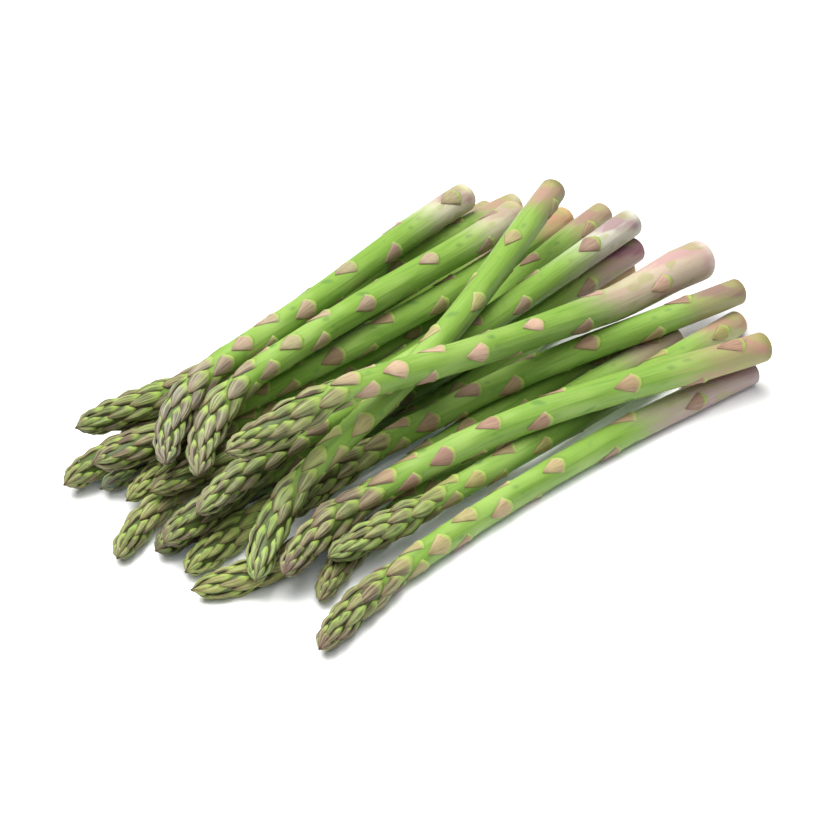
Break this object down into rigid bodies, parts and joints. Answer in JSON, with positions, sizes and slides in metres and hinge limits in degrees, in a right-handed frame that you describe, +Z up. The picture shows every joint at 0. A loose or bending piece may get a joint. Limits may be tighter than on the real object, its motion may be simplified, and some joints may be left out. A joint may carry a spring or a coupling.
{
  "type": "asparagus bundle",
  "caption": "Loose bundle of fresh green asparagus spears lying on a surface, pointed scaly buds at one end and cut butts at the other.",
  "frame": {"origin": "on the surface that the pile lies on, under the middle of its box", "axes": "+Z up, +X along the spears towards the cut butts, buds at -X"},
  "size_m": [0.288, 0.1742, 0.0566],
  "materials": {
    "spear": "satin, fresh green skin, mauve scale leaves, pale cut butt"
  },
  "bodies": {
    "root": {"bottom_spear_01": "spear", "bottom_spear_02": "spear", "bottom_spear_03": "spear", "bottom_spear_04": "spear", "bottom_spear_05": "spear", "bottom_spear_06": "spear", "bottom_spear_07": "spear", "bottom_spear_08": "spear", "bottom_spear_09": "spear", "bottom_spear_10": "spear", "bottom_spear_11": "spear", "middle_spear_01": "spear", "middle_spear_02": "spear", "middle_spear_03": "spear", "middle_spear_04": "spear", "middle_spear_05": "spear", "middle_spear_06": "spear", "upper_spear_01": "spear", "upper_spear_02": "spear", "upper_spear_03": "spear", "upper_spear_04": "spear", "upper_spear_05": "spear"}
  },
  "joints": []
}
